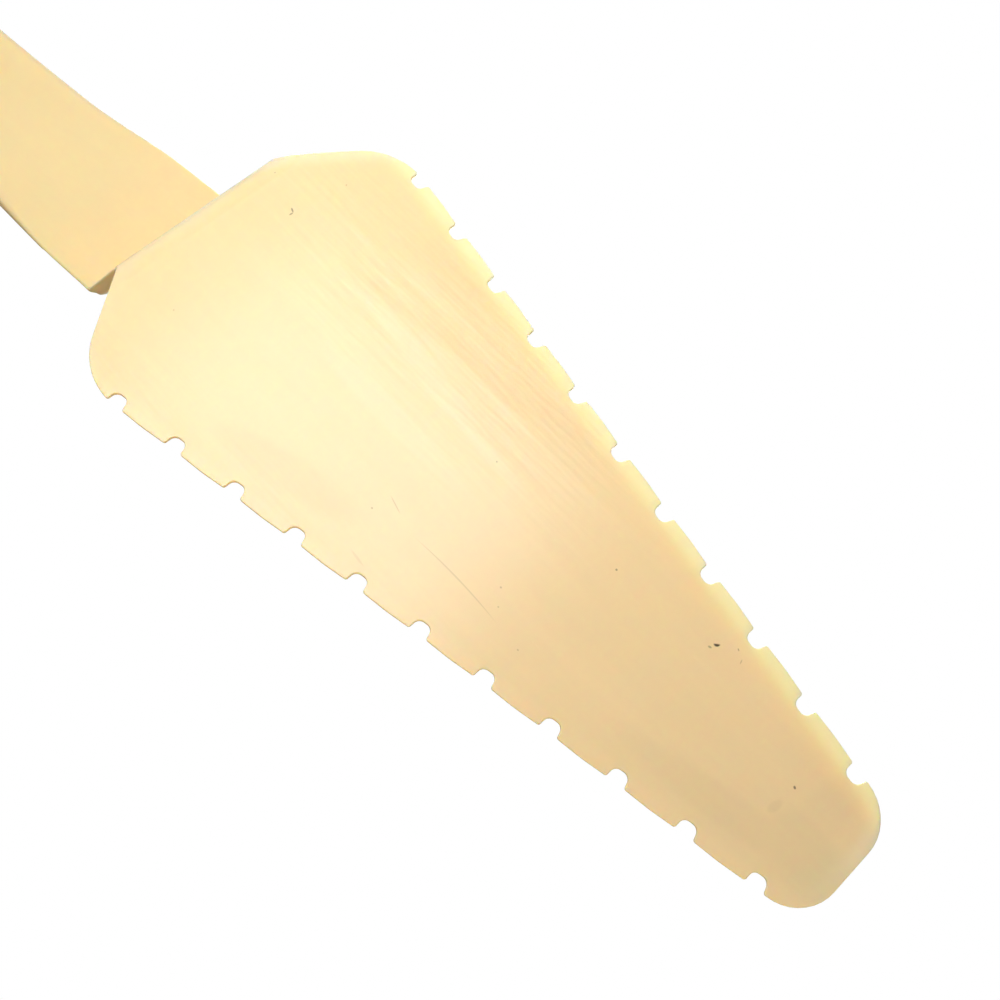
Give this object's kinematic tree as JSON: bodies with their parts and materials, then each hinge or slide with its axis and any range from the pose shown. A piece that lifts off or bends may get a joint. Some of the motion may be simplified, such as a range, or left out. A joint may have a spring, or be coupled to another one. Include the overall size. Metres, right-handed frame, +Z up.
{
  "type": "cake server",
  "caption": "Plastic cake server: a tapering blade with notched edges, a slanted neck and an arched hollow grip, for lifting and serving slices of cake.",
  "frame": {"origin": "on the blade's underside, on the centre line, between the first pair of notches", "axes": "+X along the blade to its tip, +Y to the left, +Z up from the surface that the blade lies on"},
  "size_m": [0.2567, 0.06, 0.0652],
  "materials": {
    "blade_plastic": "semi-gloss cream plastic with fine flow streaks",
    "handle_plastic": "semi-gloss cream plastic, slightly deeper in colour",
    "screw_steel": "plain stainless steel"
  },
  "bodies": {
    "root": {"blade": "blade_plastic", "handle_shell": "handle_plastic", "grip_cover": "handle_plastic", "foot_screws": "screw_steel"}
  },
  "joints": []
}
